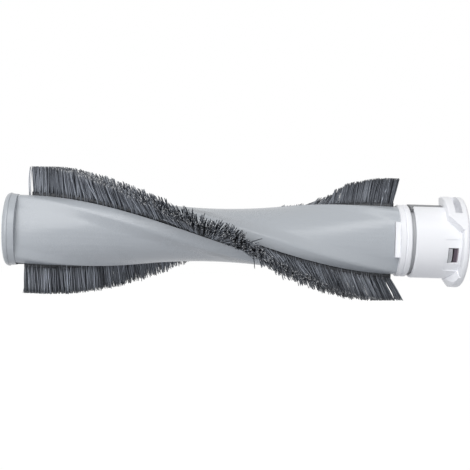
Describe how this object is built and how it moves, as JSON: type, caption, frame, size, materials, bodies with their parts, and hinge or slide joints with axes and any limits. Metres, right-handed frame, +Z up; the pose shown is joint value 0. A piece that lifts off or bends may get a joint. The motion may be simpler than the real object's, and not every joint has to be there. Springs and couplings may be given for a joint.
{
  "type": "vacuum roller brush",
  "caption": "Brush roller of a stick vacuum's floor head: a twisted body with helical bristle rows, a splined drive bore at one end and a bearing end cap at the other.",
  "frame": {"origin": "centre of the drive bore's mouth, on the spin axis at the drive end's face", "axes": "+X along the spin axis from the drive end to the end cap, +Z up through the end cap's grip"},
  "size_m": [0.2072, 0.0577, 0.0581],
  "materials": {
    "body_plastic": "satin light grey",
    "strip_plastic": "satin",
    "bristle_nylon": "nylon filament",
    "white_plastic": "satin white",
    "sleeve_plastic": "satin pale grey",
    "rail_plastic": "satin grey",
    "axle_steel": "ground",
    "bearing_steel": "polished",
    "felt": "felt"
  },
  "bodies": {
    "end_cap": {"end_cap_cover": "white_plastic", "bearing_sleeve": "sleeve_plastic", "bearing_outer_ring": "bearing_steel", "bearing_shield_inboard": "bearing_steel", "bearing_shield_outboard": "bearing_steel", "felt_seal": "felt", "end_felt": "felt", "key_rail": "rail_plastic"},
    "roller": {"roller_body": "body_plastic", "strip_backing_a": "strip_plastic", "strip_backing_b": "strip_plastic", "bristles_a": "bristle_nylon", "bristles_b": "bristle_nylon", "drive_end_cap": "body_plastic", "end_collar": "white_plastic", "stub_axle": "axle_steel", "thrust_washer": "axle_steel", "axle_circlip": "axle_steel", "bearing_inner_ring": "bearing_steel"},
    "ball_train": {"bearing_balls": "bearing_steel", "bearing_cage": "bearing_steel"}
  },
  "joints": [
    {"name": "roller_spin", "type": "hinge", "parent": "end_cap", "child": "roller", "pos_m": [0.1897, 0, 0], "axis": [1, 0, 0], "continuous": true},
    {"name": "ball_train_spin", "type": "hinge", "parent": "end_cap", "child": "ball_train", "pos_m": [0.1897, 0, 0], "axis": [1, 0, 0], "continuous": true}
  ],
  "couplings": [
    {"joint": "ball_train_spin", "follows": "roller_spin", "ratio": 0.38571}
  ]
}
